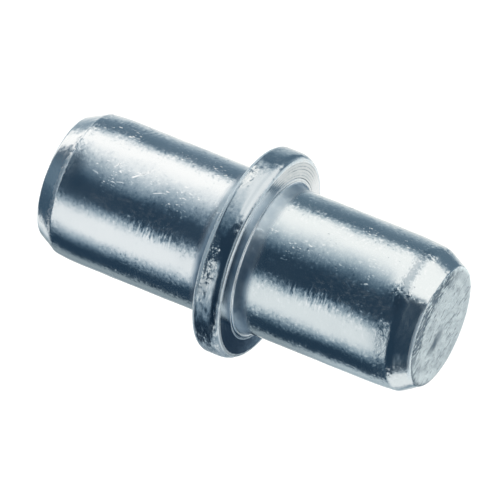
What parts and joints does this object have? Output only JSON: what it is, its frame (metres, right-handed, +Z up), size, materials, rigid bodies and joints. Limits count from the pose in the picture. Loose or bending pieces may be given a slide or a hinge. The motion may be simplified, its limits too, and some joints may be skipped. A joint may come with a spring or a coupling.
{
  "type": "shelf support pin",
  "caption": "Steel pin with a thin round collar between a wall stub, which plugs into a hole in the cabinet side, and a shelf stub, which carries the shelf; chamfered tips.",
  "frame": {"origin": "centre of the collar's wall face, on the pin's axis, where the pin meets the cabinet side", "axes": "+X along the pin's axis, out of the wall and along the shelf stub; +Z up; the pin is round, so Y and Z are alike"},
  "size_m": [0.0138, 0.0072, 0.0072],
  "materials": {
    "zinc_plated_steel": "bright zinc plating over headed steel, glossy, with fine scratches, small dents on the rim and a dull sheared tip"
  },
  "bodies": {
    "root": {"shelf_pin": "zinc_plated_steel"}
  },
  "joints": []
}
